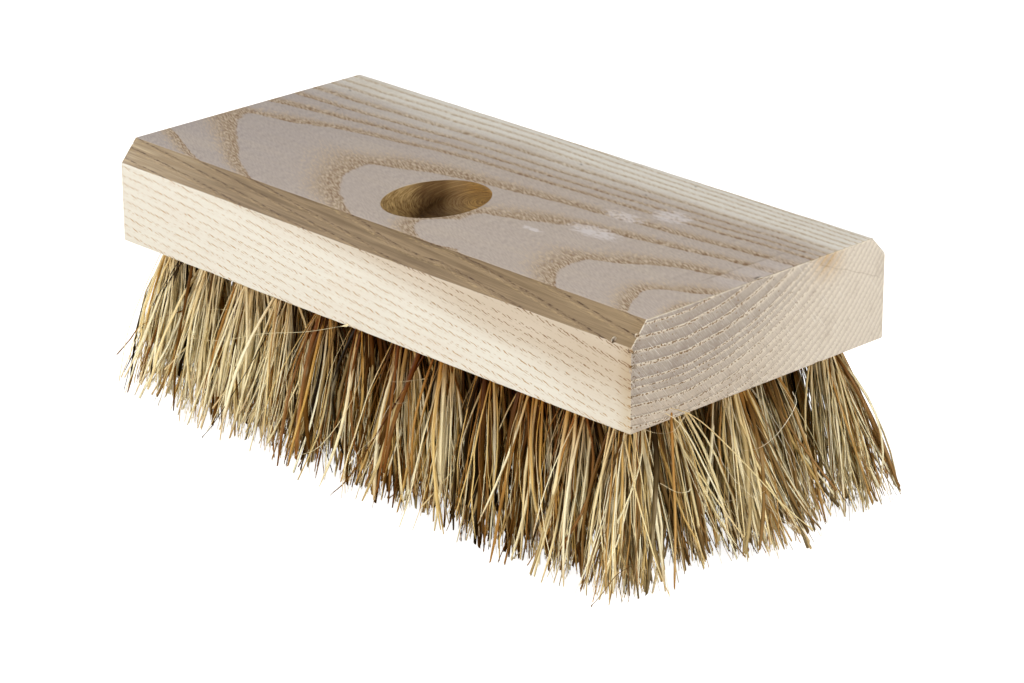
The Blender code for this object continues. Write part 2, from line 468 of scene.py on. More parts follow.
# Flakes that have broken out of the block's edges, in millimetres from the underside's middle:
# place, then half length, half width and half depth
EDGE_CHIPS = (
    ((93.6, -46.9, 23.4), (0.9, 1.0, 0.9)),
    ((99.7, -47.4, 22.4), (0.9, 0.7, 0.8)),
    ((99.6, -45.2, 26.0), (0.7, 0.9, 0.7)),
    ((99.9, -47.6, 17.2), (0.5, 0.5, 0.9)),
    ((-99.8, -43.6, 27.9), (0.9, 0.6, 0.5)),
    ((40.2, 42.6, 29.4), (1.6, 0.4, 0.35)),
    ((-62.0, -47.6, 0.1), (2.2, 0.5, 0.4)),
    ((99.9, 22.0, 0.1), (0.5, 1.6, 0.4)),
    ((99.9, -0.8, 29.4), (0.5, 1.5, 0.4)),
    ((99.9, 19.2, 29.4), (0.4, 0.9, 0.3)),
)


def chip_cutter(dice):
    """The flakes' shapes, as rough balls."""
    shape = bmesh.new()
    for (x, y, z), half in EDGE_CHIPS:
        made = bmesh.ops.create_icosphere(shape, subdivisions=2, radius=1.0)
        for vert in made["verts"]:
            rough = 1 + dice.uniform(-CHIP_ROUGHNESS, CHIP_ROUGHNESS)
            vert.co = Vector((x + vert.co.x * half[0] * rough, y + vert.co.y * half[1] * rough,
                              z + vert.co.z * half[2] * rough)) * MM
            vert.co.z += UNDERSIDE
    return object_from_bmesh("edge_chip_bit", shape)


def cut_away(body, cutter):
    """Cuts the cutter's shape out of the body, and removes the cutter."""
    cut = body.modifiers.new(cutter.name, "BOOLEAN")
    cut.operation = "DIFFERENCE"
    cut.solver = "EXACT"
    cut.object = cutter
    depsgraph = bpy.context.evaluated_depsgraph_get()
    mesh = bpy.data.meshes.new_from_object(body.evaluated_get(depsgraph))
    body.modifiers.clear()
    body.data = mesh
    bpy.data.objects.remove(cutter, do_unlink=True)


def ease_socket_rim(shape):
    """Breaks the sharp edge round the socket's mouth."""
    rim = []
    for edge in shape.edges:
        ends = [vert.co for vert in edge.verts]
        level = all(abs(end.z - BLOCK_TOP) < RIM_LEVEL_WITHIN for end in ends)
        close = all((end.xy - SOCKET_MOUTH.xy).length < RIM_SEARCH_RADIUS for end in ends)
        if level and close and edge.calc_face_angle(0) > RIM_SHARPEST:
            rim.append(edge)
    bmesh.ops.bevel(shape, geom=rim, offset=RIM_EASE, segments=2, profile=0.5, affect="EDGES")


def make_block(dice):
    block = block_body(dice)
    bpy.context.view_layer.update()
    for cutter in (hole_cutter(), socket_cutter(), chip_cutter(dice)):
        cut_away(block, cutter)
    shape = bmesh.new()
    shape.from_mesh(block.data)
    bmesh.ops.remove_doubles(shape, verts=shape.verts, dist=WELD_WITHIN)
    ease_socket_rim(shape)
    bmesh.ops.recalc_face_normals(shape, faces=shape.faces)
    for face in shape.faces:
        limit = SMOOTH_STRIP_AREA if len(face.verts) == 4 else SMOOTH_FACE_AREA
        face.smooth = face.calc_area() < limit
    shape.to_mesh(block.data)
    shape.free()
    block.name = "ash_block"
    block.data.set_sharp_from_angle(angle=SHARP_EDGE)
    block.data.materials.clear()
    block.data.materials.append(ash_finish())
    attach(block, "root")
    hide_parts("brush_block")


# Growth rings, in millimetres over the underside: how high each ring crosses the crown of the
# rings at the right end, innermost first, and how the rings drop towards the left end
RING_LEVELS = (33.0, 29.7, 28.1, 24.9, 21.2, 17.6, 13.6, 11.5, 9.3, 6.7, 3.4, 1.0, -1.6)
OUTER_RING_STEP = 2.5
OUTER_RINGS = 14
RING_TILT = ((-110, -16.8), (-100, -16.2), (-85, -15.4), (-71, -14.5), (-57, -13.45),
             (-44, -12.4), (-30, -11.15), (-15, -10.05), (15, -8.1), (58, -4.5), (86, -1.4),
             (100, 0.0), (110, 1.0))
# The crown runs along the block in front of its middle and leans across it. Each ring sags
# away from it, in a steep curve behind and a flat one in front.
CROWN_Y, CROWN_LEAN = -16.5, -0.112
CURVE_RADIUS, FAR_SAG, NEAR_SAG = 90, 1.35, 0.0031
FAR_STEP = 0.60
FAR_EDGE, FAR_EDGE_SAG = 45.0, 0.008
RING_RELIEF = 0.00007


def oval(x, y, middle_x, middle_y, half_length, half_width):
    """0 at the middle of an oval, 1 on its outline, and more beyond."""
    return abs((x - middle_x) / half_length) ** 2.0 + abs((y - middle_y) / half_width) ** 2.0


class Ash:
    """What every part of the ash finish reads: place, facing, growth rings and pores.

    The places are in millimetres from the middle of the underside. since is how far a place
    lies between one ring's pores and the next, from 0 to 1; heart is 1 in the heartwood.
    """

    def __init__(self, finish):
        self.finish = finish
        self.x, self.y, up = (part / MM for part in finish.place())
        self.z = up - UNDERSIDE / MM
        facing_x, _, facing_z = finish.facing()
        self.end = abs(facing_x).rise(0.6, 0.85)
        self.top = facing_z.rise(0.85, 0.97)
        self.chamfer = facing_z.rise(0.45, 0.6) * facing_z.rise(0.92, 0.85)
        self.draw_rings()
        self.draw_pores()

    def draw_rings(self):
        finish, x, y, z = self.finish, self.x, self.y, self.z
        sway = finish.noise(x / 60, y / 24, z / 24, 2.0) * 0.55
        ripple = finish.noise(x / 9, y / 3.0, z / 2.2, 2.0) * 0.09
        aside = y - CROWN_Y - x * CROWN_LEAN
        behind = aside.at_least(0.0)
        in_front = aside.at_most(0.0)
        sag = ((behind * behind + CURVE_RADIUS ** 2).root() - CURVE_RADIUS) * FAR_SAG
        sag = sag + in_front * in_front * NEAR_SAG + behind.rise(0.0, 7.0) * FAR_STEP
        edge = (aside - FAR_EDGE).at_least(0.0)
        sag = sag + edge * edge * FAR_EDGE_SAG
        tilt = finish.curve(x, RING_TILT[0][0], RING_TILT[-1][0], RING_TILT)
        notch = oval(x, y, 13.0, -40.0, 18, 16).rise(1.0, 0.0) * z.rise(16.0, 28.0) * 1.3
        level = z - sag + tilt + sway + ripple + notch
        self.far_side = aside.rise(0.0, 20.0)
        last = len(RING_LEVELS) - 1
        drawn = [(level, -index) for index, level in enumerate(RING_LEVELS)]
        drawn += [(RING_LEVELS[-1] - OUTER_RING_STEP * step, -last - step)
                  for step in range(1, OUTER_RINGS)]
        drawn.sort()
        age = finish.curve(level, drawn[0][0], drawn[-1][0], drawn)
        self.since = (-age).fraction()
        depth = level - tilt * self.top * 0.20
        self.heart = (depth + finish.noise(x / 40, y / 9, z / 9, 2.0) * 5).rise(1.0, 13.5)

    def draw_pores(self):
        """Open tubes along the grain, which leans a little across each planed face."""
        finish, x, y, z = self.finish, self.x, self.y, self.z
        lean = (z + x * 0.37) * (1 - self.top) + (y + x * 0.46) * self.top
        hairs = finish.noise(x / 2.4, lean / 0.32, 4.0, 1.0)
        self.strands = hairs.rise(-0.22, 0.22)
        self.streak = finish.noise(x / 22, y / 0.9, z / 0.9, 3.0, 0.6)
        self.cloud = finish.noise(x / 34, y / 7, z / 7, 2.0, 0.5)
        frayed = self.since + hairs * 0.48
        fading = frayed.rise(0.40 + 0.15 * self.far_side, 0.12 + 0.08 * self.far_side)
        self.early = fading * (self.since + hairs * 0.03).rise(0.0, 0.04)
        second = self.since.near(0.50, 0.08) * 0.45
        self.rows = (self.since.rise(0.38, 0.22) + second) * self.since.rise(0.0, 0.03)
        wobble = finish.noise(x / 2.4, y / 1.3, z / 1.3)
        broken = finish.noise(x / 1.7, y / 0.9, z / 0.9, 2.0).rise(-0.22, 0.04)
        strokes = (lean / 0.76 + wobble * 0.7).fraction().near(0.5, 0.32)
        self.pore = strokes * broken * self.rows * (1.1 - self.top * 0.7)


def long_faces(ash):
    """Faces along the grain: cream sapwood, greyer heartwood, and brown bands of early wood."""
    finish = ash.finish
    sap = finish.blend(ash.top, seen(224, 218, 204), seen(252, 247, 237))
    heart = finish.blend(ash.x.rise(-110.0, 20.0), seen(189, 178, 174), seen(201, 187, 177))
    heart = finish.blend(ash.top, seen(199, 183, 161), heart)
    side = finish.blend(ash.heart, sap, heart)
    wood = finish.blend(ash.streak.rise(-0.3, 0.7) * 0.26, side, seen(196, 178, 156))
    wood = finish.blend(ash.cloud.rise(0.0, 0.5) * 0.30, wood, seen(216, 202, 184))
    chatter = finish.noise(ash.x / 1.3, ash.y / 30, 9.0).rise(0.0, 0.4) * ash.top
    wood = finish.blend(chatter * 0.08, wood, seen(120, 104, 96))
    early = ash.early * ash.top
    band = finish.blend(ash.heart, seen(226, 210, 180), seen(184, 150, 108))
    wood = finish.blend(early * (0.66 + 0.17 * ash.heart), wood, band)
    dark = finish.blend(ash.heart, seen(188, 160, 118), seen(124, 88, 48))
    wood = finish.blend(ash.strands * (early * 0.72 + ash.top * 0.16), wood, dark)
    light = finish.blend(ash.heart, seen(244, 236, 220), seen(226, 212, 190))
    wood = finish.blend((1 - ash.strands) * (early * 0.36 + ash.top * 0.24), wood, light)
    tan = (ash.x.rise(94.0, 99.5) + ash.x.rise(60.0, 100.0) * 0.4) * (1 - ash.top)
    wood = finish.blend(tan * 0.30, wood, seen(206, 180, 128), "MULTIPLY")
    mark = finish.blend(ash.heart, seen(176, 136, 78), seen(122, 86, 42))
    nick = ash.rows * ash.x.rise(98.6, 99.7) * ash.strands.rise(0.3, 0.7)
    return finish.blend((ash.pore + nick) * (1 - ash.top), wood, mark)


def end_grain(ash):
    """The sawn end: pale lines round rows of open pores, and the saw's own fine marks."""
    finish, y, z = ash.finish, ash.y, ash.z
    along = y * 0.64 - z * 0.77
    across = y * 0.77 + z * 0.64
    rough = finish.noise(y / 0.8, z / 0.8, 21.0, 2.0, 0.6)
    since = ash.since + rough * 0.07
    outer = (y - z * 0.4).rise(-34.0, 34.0)
    pale = finish.blend(outer, seen(212, 198, 178), seen(232, 221, 204))
    mauve = finish.blend(ash.heart, seen(198, 182, 163), seen(165, 152, 140))
    late = finish.blend(outer, mauve, seen(216, 203, 187))
    late_wood = since.rise(0.16, 0.28 + 0.66 * outer)
    wood = finish.blend(late_wood * (0.7 + 0.3 * ash.since), pale, late)
    dusky = finish.blend(outer, seen(150, 136, 122), seen(186, 168, 144))
    wood = finish.blend(since.rise(0.76, 0.92) * (0.5 - outer * 0.26), wood, dusky)
    wood = finish.blend(ash.cloud.rise(0.0, 0.45) * 0.4, wood, seen(214, 206, 200), "MULTIPLY")
    lines = since.near(0.04, 0.06) + since.near(0.26, 0.06) * 0.4
    wood = finish.blend(lines.at_most(1.0) * (0.50 + rough), wood, seen(244, 234, 214))
    dots = finish.noise(y / 0.66, z / 0.54, 7.0, 0.0)
    open_pores = (dots + since.rise(0.26, 0.18) * since.rise(0.0, 0.05) * 0.42).rise(0.44, 0.56)
    wood = finish.blend(open_pores * (0.95 - outer * 0.75), wood, seen(126, 92, 46))
    saw = finish.noise(along / 4, across / 0.26, 3.0, 2.0, 0.6)
    worn = 1 - outer * 0.75
    wood = finish.blend(saw.rise(0.0, 0.35) * worn * 0.46, wood, seen(152, 141, 133))
    wood = finish.blend(saw.rise(-0.05, -0.40) * worn * 0.28, wood, seen(242, 235, 224))
    scratch = finish.noise(along / 9, across / 0.40, 11.0, 1.0)
    wood = finish.blend(scratch.rise(0.30, 0.46) * 0.40, wood, seen(248, 243, 234))
    wood = finish.blend(rough.rise(0.1, 0.6) * 0.25, wood, seen(150, 130, 106))
    # The worn pale rim under the top edge and the near bevel
    depth = TOP_LEVEL - z
    bevel = depth + (y + 42.1) * 1.16
    rim = depth.at_most(bevel * 0.65)
    wood = finish.blend((rim + rough * 0.3).rise(0.55, 0.15) * 0.7, wood, seen(246, 236, 214))
    # A fine drying check down from the top edge, and a tan stain beside it
    check = (y - 16.0) * 0.39 - depth + finish.noise(y / 5, 0.0, 0.0) * 0.5
    line = check.near(0.0, 0.20) * y.rise(12.0, 15.0) * y.rise(46.0, 43.0)
    crack = finish.blend(y.rise(18.0, 24.0), seen(244, 238, 228), seen(156, 132, 104))
    wood = finish.blend(line * 0.40, wood, crack)
    stain = y.near(25.0, 9.0) * z.rise(19.0, 29.0) * (1.25 - since)
    wood = finish.blend(stain * 0.7, wood, seen(234, 204, 156), "MULTIPLY")
    # Dirt in the pores towards the near edge
    grime = (y.rise(-44.0, -47.6) * z.rise(4.0, 14.0) + y.rise(-46.7, -47.4)).at_most(1.0)
    grime = grime * (dots + ash.rows * 0.5).rise(0.20, 0.42)
    wood = finish.blend(grime * 0.85, wood, seen(100, 74, 40))
    return wood, (saw * 0.6 + lines * 0.3 - open_pores * ash.rows) * worn


def chamfers(ash, wood):
    """The two bevels, browned and closed by the cutter, with long dark pores and painted pale
    highlights.
    """
    finish = ash.finish
    down = abs(ash.y) * 0.65 - ash.z * 0.76 - ash.x * 0.030
    sheen = finish.noise(ash.x / 34, down / 1.1, 2.0, 3.0, 0.6)
    pore_slits_and_highlights = finish.noise(ash.x / 8, down / 0.26, 5.0, 1.0)
    brown = finish.blend(sheen.rise(-0.4, 0.4), seen(146, 123, 91), seen(110, 88, 58))
    brown = finish.blend(ash.x.rise(40.0, 90.0) * 0.35, brown, seen(160, 137, 104))
    left = ash.x.rise(-50.0, -100.0)
    brown = finish.blend(left * (0.45 + sheen * 2.2), brown, seen(190, 169, 136))
    # The dark slits are pores; the pale streaks after them are painted highlights
    brown = finish.blend(pore_slits_and_highlights.rise(0.0, 0.30) * 0.22, brown, seen(102, 79, 50))
    brown = finish.blend(pore_slits_and_highlights.rise(-0.16, -0.40) * 0.12, brown, seen(190, 160, 114))
    # Each ring crosses the bevel as a fine row of dark pores, with a painted pale glint beside it
    ring = ash.since.rise(0.16, 0.07) * ash.since.rise(0.0, 0.02)
    torn = finish.noise(ash.x / 2.2, down / 0.26, 8.0, 1.0, 0.6)
    brown = finish.blend(ring * 0.25, brown, seen(120, 90, 50))
    brown = finish.blend(ring * torn.rise(-0.04, 0.10) * 0.95, brown, seen(70, 42, 12))
    painted_glint = ash.since.near(0.28, 0.12) * torn.rise(0.10, -0.25)
    brown = finish.blend(painted_glint * 0.35, brown, seen(202, 174, 124))
    return finish.blend(ash.chamfer * (1 - ash.end), wood, brown)


# Painted pale highlight patches and dark flecks on the top, in millimetres: place, half length
# and half width
TOP_HIGHLIGHT_PATCHES = ((52, 17, 7, 4.5), (43, 8, 8, 3), (46, -6, 10, 4), (33, -16, 4, 1.4))
DARK_FLECKS = ((-57.0, 12.7, 0.7, 0.35), (4.7, 30.3, 0.6, 0.3), (35.0, 24.7, 0.5, 0.3),
               (39.5, 39.2, 0.6, 0.3), (-90.0, 29.8, 0.7, 0.3), (-79.0, 15.5, 0.25, 1.0),
               (99.0, -1.0, 0.6, 1.2))
FLECK_SOFTNESS = 1.6


def top_marks(ash, wood):
    """Painted pale highlights on the top, and handling marks: one line across the grain, dark
    flecks.
    """
    finish, x, y = ash.finish, ash.x, ash.y
    spots = finish.noise(x / 2.4, y / 1.4, 2.0, 4.0, 0.8)
    # Painted highlights: pale patches on the top
    painted_highlight = sum(oval(x, y, *highlight_patch).rise(2.2, 0.0) for highlight_patch in TOP_HIGHLIGHT_PATCHES)
    painted_highlight = (spots + painted_highlight * 0.62).rise(0.34, 0.62) * painted_highlight.at_most(1.0) * ash.top
    wood = finish.blend(painted_highlight * 0.62, wood, seen(240, 232, 230))
    worn = x.rise(91.0, 92.0) * y.rise(-12.0, -8.0) * y.rise(18.0, 8.0) * ash.top
    wood = finish.blend(worn * (0.24 + spots * 0.3), wood, seen(226, 216, 212))
    line = (x - 91.0 - y * 0.02 + finish.noise(y / 6, 1.0, 0.0) * 0.8).near(0.0, 0.55)
    line = line * y.rise(-14.0, -11.0) * y.rise(26.0, 22.0) * ash.top
    broken = finish.noise(y / 2.0, x / 2.0, 0.0, 2.0).rise(-0.35, 0.15)
    wood = finish.blend(line * broken * 0.30, wood, seen(120, 98, 76))
    for fleck_x, fleck_y, half_length, half_width in DARK_FLECKS:
        along, across = x - fleck_x, y - fleck_y
        fleck = along.near(0.0, half_length * FLECK_SOFTNESS)
        fleck = fleck * (across + along * 0.5).near(0.0, half_width * FLECK_SOFTNESS)
        wood = finish.blend(fleck * ash.top * 0.8, wood, seen(92, 74, 58))
    return wood


def socket_wall(ash, wood):
    """Inside the pole socket: oiled golden brown by the bit, with its curved cutting marks, a
    band of painted shade and painted golden highlights beyond it.
    """
    finish = ash.finish
    axis = socket_axis()
    depth = TOP_LEVEL - ash.z
    mouth = SOCKET_MOUTH / MM
    apart = [ash.x - mouth.x, ash.y - mouth.y, -depth]
    along = apart[0] * axis.x + apart[1] * axis.y + apart[2] * axis.z
    off = [part - along * share for part, share in zip(apart, axis)]
    away = (off[0] * off[0] + off[1] * off[1] + off[2] * off[2]).root()
    bored = away.rise(SOCKET_RADIUS / MM + 0.30, SOCKET_RADIUS / MM + 0.12)
    bored = bored * depth.rise(0.02, 0.35)
    # The grain that the bit cut through lies in arcs that lean towards the near right
    arc_x, arc_y = ash.x + depth * 2.1, ash.y - depth * 1.95
    swing = ((arc_x - 10.0) * (arc_x - 10.0) + (arc_y + 9.0) * (arc_y + 9.0)).root()
    turn = finish.noise(swing / 0.30, along / 3, arc_x / 4, 4.0, 0.85)
    tone = finish.blend(turn.rise(-0.26, 0.26), seen(222, 190, 128), seen(120, 84, 34))
    lee = (arc_x + 2.4) * 0.70 + (arc_y + 17.5) * 0.71 + turn * 2.0
    # Painted shade: a dark band across the middle of the socket
    painted_shade = lee.rise(-8.0, -3.0) * lee.rise(6.0, 1.0)
    tone = finish.blend(painted_shade * 0.72, tone, seen(88, 52, 6))
    tone = finish.blend(lee.rise(1.0, 6.0) * 0.42, tone, seen(152, 118, 84))
    # Painted highlights: golden streaks beyond the painted shade
    painted_far_highlight = lee.rise(5.0, 11.0) * turn.rise(0.2, -0.2)
    tone = finish.blend(painted_far_highlight * 0.8, tone, seen(228, 182, 98))
    return finish.blend(bored, wood, finish.blend(0.25, tone, wood, "MULTIPLY")), bored, turn


def ash_finish():
    """Planed ash: growth rings through the whole block, and how each face was cut."""
    finish = Finish(bpy.data.materials.new("planed_ash"))
    ash = Ash(finish)
    sawn, sawn_relief = end_grain(ash)
    wood = top_marks(ash, long_faces(ash))
    wood = finish.blend(ash.end, wood, sawn)
    wood = chamfers(ash, wood)
    wood, bored, turn = socket_wall(ash, wood)
    relief = ash.streak * 0.15 - ash.early * 0.2 - ash.pore * 0.4
    relief = relief * (1 - ash.end) + sawn_relief * ash.end + turn * bored
    finish.bump(relief, RING_RELIEF)
    return finish.done(wood, 0.66 + ash.early * 0.10 - ash.chamfer * 0.16)


# Fibres

def fan_out(place):
    """Where a tuft's tips stand, as the brush fans out towards its rim."""
    flare = RIGHT_FLARE if place.x > 0 else LEFT_FLARE
    if RIGHT_END_X < place.x < FULL_ROW_END_X:
        flare *= SHORT_ROW_FLARE
    row = (place.y + SIDE_TUFT_Y) / (2 * SIDE_TUFT_Y)
    bulge = MIDDLE_ROW_FLARE - (NEAR_ROW_FLARE + FAR_ROW_FLARE) / 2
    flare *= (NEAR_ROW_FLARE + (FAR_ROW_FLARE - NEAR_ROW_FLARE) * row
              + bulge * math.sin(math.pi * row))
    along = flare * (place.x / END_TUFT_X) ** FLARE_POWER
    if TUFT_PITCH / 2 - END_TUFT_X < place.x < -TUFT_PITCH:
        along -= LEFT_LEAN
    across = SIDE_FLARE * (place.y / SIDE_TUFT_Y) ** FLARE_POWER
    return Vector((place.x + along, place.y + across, 0))


def pick_kind(dice):
    """One kind of fibre, as often as its share of the mix."""
    pick = dice.random() * sum(kind[0] for kind in KINDS.values())
    for name, kind in KINDS.items():
        pick -= kind[0]
        if pick < 0:
            return name
    return "straw"


def level_gauss(dice, along, across):
    """A chance step in the level plane, with its usual size along and across the block."""
    return Vector((dice.gauss(0, along), dice.gauss(0, across), 0))


def fibre_line(centre, lock, kind, dice):
    """The middle line of one fibre, from the fold in its hole down to its tip."""
    angle = dice.uniform(0, 2 * math.pi)
    out = math.sqrt(dice.random())
    aside = Vector((math.cos(angle), math.sin(angle), 0)) * BUNDLE_RADIUS * out
    root = centre + aside
    reach = aside * BUNDLE_SPREAD + lock + level_gauss(dice, LOOSE_SPREAD, LOOSE_SPREAD)
    if dice.random() < UNRULY_SHARE:
        reach += level_gauss(dice, UNRULY_SPREAD, UNRULY_SPREAD)
    if reach.length > MOST_REACH:
        reach *= MOST_REACH / reach.length
    if centre.x > FULL_ROW_END_X:
        reach.x = min(reach.x, MOST_RIGHT_REACH - FAR_CORNER_PULL * max(centre.y, 0))
        reach.y = min(reach.y, MOST_RIGHT_REACH)
    if centre.x < LEFT_END_X:
        reach.x = max(reach.x, -MOST_LEFT_REACH)
    tip = fan_out(centre) + reach
    length = FIBRE_LENGTH - RAGGED_LENGTH * dice.random() ** RAGGED_POWER
    if centre.x < LEFT_END_X:
        length -= SHORT_LEFT_END
    if centre.x > RIGHT_END_X:
        length = FIBRE_LENGTH - (FIBRE_LENGTH - length) * RIGHT_END_RAGGED_SHARE
    if dice.random() < BROKEN_SHARE:
        length -= dice.uniform(LEAST_BROKEN_OFF, MOST_BROKEN_OFF)
    tip = root.lerp(tip, length / FIBRE_LENGTH)
    drop = math.sqrt(length ** 2 - (tip - root).length ** 2)
    low = max(UNDERSIDE - drop, FLOOR_CLEARANCE)
    limp = HAIR_LIMPNESS if kind == "hair" else 1.0
    bow = level_gauss(dice, 1, 1) * BOW * limp
    wave = level_gauss(dice, 1, 1) * WAVE * limp
    turns = dice.uniform(FEWEST_WAVES, MOST_WAVES)
    phase = dice.uniform(0, 2 * math.pi)
    fold = Vector((root.x, centre.y + (root.y - centre.y) * FOLD_PINCH,
                   UNDERSIDE + HOLE_DEPTH - FOLD_DEPTH - FOLD_WANDER * dice.random()))
    line = [fold, Vector((root.x, root.y, UNDERSIDE + MOUTH_HEIGHT))]
    for step in range(FIBRE_RINGS):
        share = step / (FIBRE_RINGS - 1)
        point = root.lerp(tip, share * ((1 - DROOP) + DROOP * share))
        point += bow * math.sin(math.pi * share) + wave * share * math.sin(
            phase + 2 * math.pi * turns * share)
        point.z = UNDERSIDE + (low - UNDERSIDE) * share
        line.append(point)
    return line


def add_fibre(line, width, strip, dice, corners, faces, places):
    """A flat-sided tube round the line, and where each of its corners lies on the colours."""
    turn = dice.uniform(0, math.pi)
    flat = dice.uniform(FLATTEST, ROUNDEST)
    slant = dice.uniform(-TIP_SLANT, TIP_SLANT)
    across = Vector((math.cos(turn), math.sin(turn), 0))
    along = Vector((-math.sin(turn), math.cos(turn), 0)) * flat
    first = len(corners)
    last = len(line) - 1
    for index, point in enumerate(line):
        share = index / last
        half = width / 2 * (ROOT_WIDTH - WIDTH_TAPER * share)
        half *= dice.uniform(1 - WIDTH_WANDER, 1 + WIDTH_WANDER)
        if index == last:
            half *= TIP_WIDTH
        for side in range(FIBRE_SIDES):
            angle = 2 * math.pi * side / FIBRE_SIDES
            corner = point + (across * math.cos(angle) + along * math.sin(angle)) * half
            if index == last:
                corner.z = max(corner.z + slant * math.cos(angle), FLOOR_CLEARANCE)
            corners.append(corner)
    for index in range(last):
        for side in range(FIBRE_SIDES):
            after = (side + 1) % FIBRE_SIDES
            low = first + index * FIBRE_SIDES
            faces.append((low + side, low + after, low + FIBRE_SIDES + after,
                          low + FIBRE_SIDES + side))
            u0, u1 = index / last, (index + 1) / last
            v0, v1 = ((strip + STRIP_MARGIN + STRIP_SPAN * edge / FIBRE_SIDES) / STRIPS
                      for edge in (side, side + 1))
            places += [(u0, v0), (u0, v1), (u1, v1), (u1, v0)]
    end = first + last * FIBRE_SIDES
    faces.append(tuple(range(first + FIBRE_SIDES - 1, first - 1, -1)))
    faces.append(tuple(range(end, end + FIBRE_SIDES)))
    middle = (strip + 0.5) / STRIPS
    places += [(0.01, middle)] * FIBRE_SIDES + [(0.99, middle)] * FIBRE_SIDES


def fibre_piece(name, corners, faces, places, finish):
    """One piece made of many fibres, which rides on the body."""
    mesh = bpy.data.meshes.new(name)
    mesh.from_pydata(corners, [], faces)
    layer = mesh.uv_layers.new(name=STRIP_LAYER)
    layer.data.foreach_set("uv", [number for place in places for number in place])
    mesh.shade_smooth()
    mesh.materials.append(finish)
    mesh.update()
    piece = bpy.data.objects.new(name, mesh)
    bpy.context.scene.collection.objects.link(piece)
    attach(piece, "root")
    return piece


def pick_strip(name, dice):
    """The number of one of a kind's colour strips, which lie in the order of the kinds."""
    first = 0
    for kind_name, (_, strips, *_) in KINDS.items():
        if kind_name == name:
            return first + dice.randrange(strips)
        first += strips


def make_tufts(dice, finish):
    """Every tuft: a few locks, each mostly of one kind of fibre, in place of the frame's tuft."""
    for row, number, centre in tuft_places():
        # Partly painted light: the end tufts are made paler
        cream = PALE_LEFT_SHARE if centre.x < PALE_LEFT_X else 0
        if centre.x > PALE_RIGHT_X:
            cream = PALE_RIGHT_SHARE + PALE_FAR_SHARE * max(centre.y, 0) / SIDE_TUFT_Y
        locks = [(level_gauss(dice, LOCK_SPREAD_ALONG, LOCK_SPREAD_ACROSS),
                  "cream" if dice.random() < cream else pick_kind(dice))
                 for _ in range(LOCKS_PER_TUFT)]
        alike = PALE_LOCK_COLOUR_SHARE if centre.x < PALE_LEFT_X else LOCK_COLOUR_SHARE
        corners, faces, places = [], [], []
        for _ in range(FIBRES_PER_TUFT):
            lock, lead = dice.choice(locks)
            kind = lead if dice.random() < alike else pick_kind(dice)
            _, _, thinnest, thickest, *_ = KINDS[kind]
            width = thinnest + (thickest - thinnest) * dice.random() ** THIN_FIBRE_POWER
            add_fibre(fibre_line(centre, lock, kind, dice), width, pick_strip(kind, dice), dice,
                      corners, faces, places)
        piece = fibre_piece(f"fibres_row{row}_{number:02d}", corners, faces, places, finish)
        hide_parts(f"tuft_row{row}_{number:02d}")


# Hairs, strays and broad blades at the edge of the tufts and clear of them: kind, width, and
# the points that each one passes, in millimetres
LOOSE_HAIRS = (
    ("cream", 0.34, ((-61, -55, 32), (-58, -58, 33), (-45, -59, 36), (-27, -59, 43),
                    (-10, -58, 48), (0, -52, 51))),
    ("cream", 0.30, ((-67, -54, 36), (-64, -57, 37), (-56, -58, 41), (-48, -58, 44),
                    (-36, -55, 46))),
    ("hair", 0.20, ((18, -54, 42), (21, -57, 43), (26, -58, 44), (33, -55, 46))),
    ("hair", 0.18, ((26, -56, 41), (25, -58, 38), (29, -58, 39))),
    ("dark", 0.46, ((-80, -40, 48), (-87, -43, 37), (-96, -44, 22), (-107, -44, 5))),
    ("dark", 0.46, ((-81, -41, 48), (-90, -45, 32), (-98, -46, 17), (-105, -46, 0.5))),
    ("tan", 0.48, ((-105, -48, 12), (-99, -48, 18), (-92, -48, 25), (-82, -42, 30))),
    ("hair", 0.24, ((99, -44, 49), (102, -40, 47), (103, -35, 46.5), (101, -29, 48))),
    ("cream", 0.42, ((110, -47, 38), (112, -43, 35), (112, -39, 34), (109, -35, 33))),
    ("cream", 0.46, ((97, -36, 52), (104, -29, 49), (108, -17, 36), (112, -4, 20),
                     (114, 6, 10))),
    ("cream", 0.40, ((95, -38, 52), (103, -33, 48), (108, -27, 33), (110, -22, 21))),
    ("hair", 0.24, ((104, -10, 34), (107, -7, 35), (108, -1, 38), (107, 6, 43), (104, 8, 45))),
    ("hair", 0.24, ((108, -24, 25), (112, -19, 26), (113, -12, 26), (110, -7, 26))),
    ("brown", 0.44, ((104, -50, 15), (101, -53, 12), (97, -54, 6), (93, -54, 1))),
    ("cream", 0.34, ((62, -40, 49), (66, -47, 34), (76, -54, 18), (82, -56, 7))),
    ("brown", 0.55, ((20, -40, 49), (10, -48, 26), (2, -54, 9), (-4, -56, 2))),
    ("dark", 0.55, ((-36, -40, 49), (-46, -47, 26), (-55, -53, 8), (-59, -55, 2))),
    ("cream", 0.34, ((-8, -40, 49), (-2, -47, 32), (-10, -54, 14), (-24, -56, 7))),
    ("tan", 1.20, ((-90, -40, 48), (-94, -42, 33), (-98, -44, 18), (-102, -47, 1))),
    ("brown", 1.50, ((-87, -40, 48), (-90, -42, 33), (-94, -44, 20), (-98, -45, 5))),
    ("brown", 1.70, ((-77, -41, 48), (-78, -44, 34), (-79, -47, 20), (-80, -48, 2))),
    ("dark", 1.60, ((97, -37, 50), (99, -37, 38), (99, -38, 20), (98, -39, 1))),
    ("brown", 1.50, ((92, -40, 49), (91, -44, 36), (90, -46, 18), (87, -48, 4))),
    ("tan", 0.90, ((100, -33, 50), (101, -33, 36), (102, -33, 20), (102, -33, 2))),
    ("russet", 1.50, ((18, -41, 49), (16, -45, 38), (14, -49, 26), (12, -51, 12))),
)


